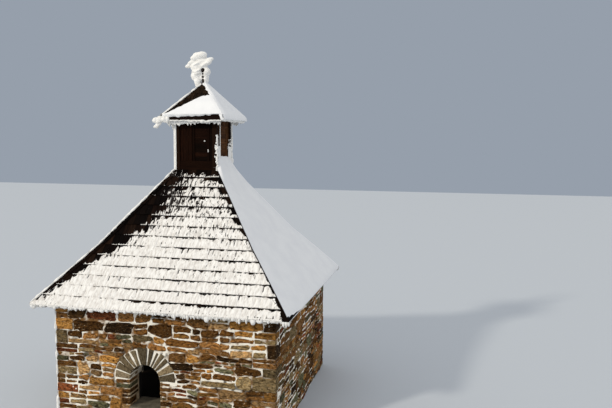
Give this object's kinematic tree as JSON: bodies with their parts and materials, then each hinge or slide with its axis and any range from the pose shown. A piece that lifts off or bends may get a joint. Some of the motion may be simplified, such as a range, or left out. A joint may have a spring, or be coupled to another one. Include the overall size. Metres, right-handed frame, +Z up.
{
  "type": "small stone chapel",
  "caption": "Small square rubble-stone chapel with arched openings, a steep shingled pyramid roof in snow, a boarded turret and a rimed cross.",
  "frame": {"origin": "centre of the square plan on the ground, at the lowest point where the walls meet it", "axes": "+Z up, -Y out of the front wall with the arched window that the picture shows, +X towards the uphill side with the thick snow"},
  "size_m": [5.2, 5.2, 7.5497],
  "materials": {
    "rubble_stone": "rough rubble with raised pale joints",
    "arch_stone": "rough split schist with pale joints",
    "slab_stone": "rough worn slab",
    "timber": "rough sawn, weathered",
    "shingle": "split shingles, weathered dark",
    "turret_wood": "dark stained boards",
    "iron": "weathered, dull",
    "snow": "wind-packed snow and rime, matte"
  },
  "bodies": {
    "root": {"front_wall": "rubble_stone", "back_wall": "rubble_stone", "left_wall": "rubble_stone", "right_wall": "rubble_stone", "floor_slab": "slab_stone", "window_arches": "arch_stone", "doorway_arch": "arch_stone", "window_sills": "slab_stone", "door_threshold": "slab_stone", "front_back_plates": "timber", "side_plates": "timber", "hip_rafters": "timber", "front_rafters": "timber", "right_rafters": "timber", "back_rafters": "timber", "left_rafters": "timber", "front_roof_boards": "timber", "right_roof_boards": "timber", "back_roof_boards": "timber", "left_roof_boards": "timber", "front_shingles": "shingle", "right_shingles": "shingle", "back_shingles": "shingle", "left_shingles": "shingle", "turret_base_frame": "timber", "turret_posts": "turret_wood", "turret_front_panel": "turret_wood", "turret_right_panel": "turret_wood", "turret_back_panel": "turret_wood", "turret_left_panel": "turret_wood", "turret_head_frame": "timber", "cap_front": "shingle", "cap_right": "shingle", "cap_back": "shingle", "cap_left": "shingle", "cap_fascia": "turret_wood", "king_post": "timber", "finial_rod": "iron", "orb": "iron", "cross": "iron", "roof_snow": "snow", "cap_snow": "snow", "cross_rime": "snow"}
  },
  "joints": []
}
